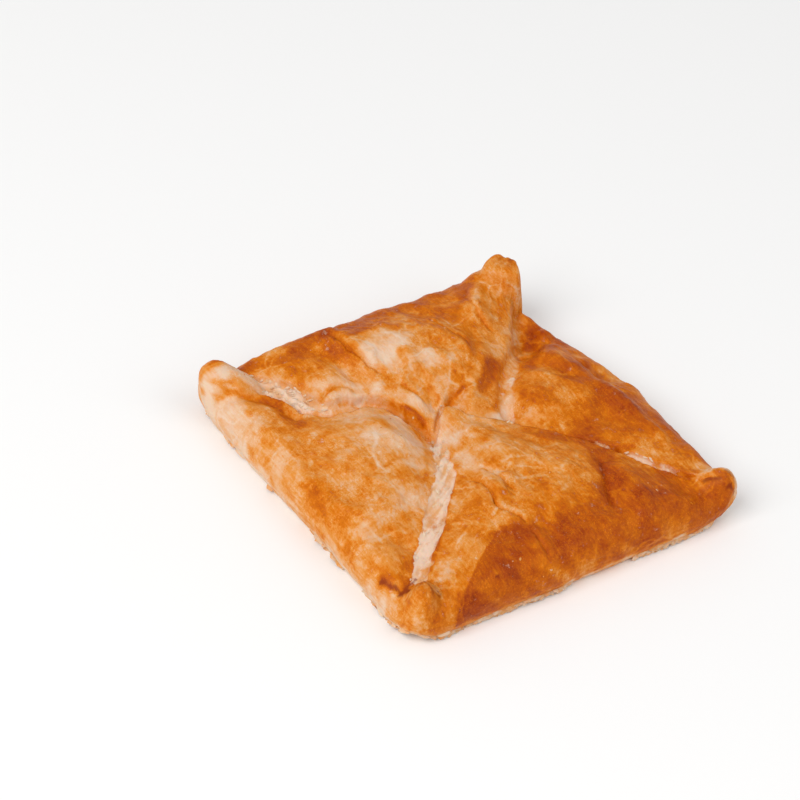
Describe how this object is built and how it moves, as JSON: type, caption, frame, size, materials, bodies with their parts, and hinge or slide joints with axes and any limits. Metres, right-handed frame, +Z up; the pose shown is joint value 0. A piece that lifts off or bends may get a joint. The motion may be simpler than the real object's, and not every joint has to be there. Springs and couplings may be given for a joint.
{
  "type": "khachapuri",
  "caption": "Square envelope khachapuri: golden puff pastry with its corners folded over the filling to the middle, puffed at each corner.",
  "frame": {"origin": "middle of the flat base, between the four sides", "axes": "+Z up out of the base; +X and +Y along the sides of the square; the front corner at -X -Y, the corner with the tall puffed horn at +X +Y"},
  "size_m": [0.1357, 0.1362, 0.031],
  "materials": {
    "crust": "golden baked puff pastry, egg washed, with a low gloss, browner on its high places and pale where its layers show"
  },
  "bodies": {
    "root": {"khachapuri": "crust"}
  },
  "joints": []
}
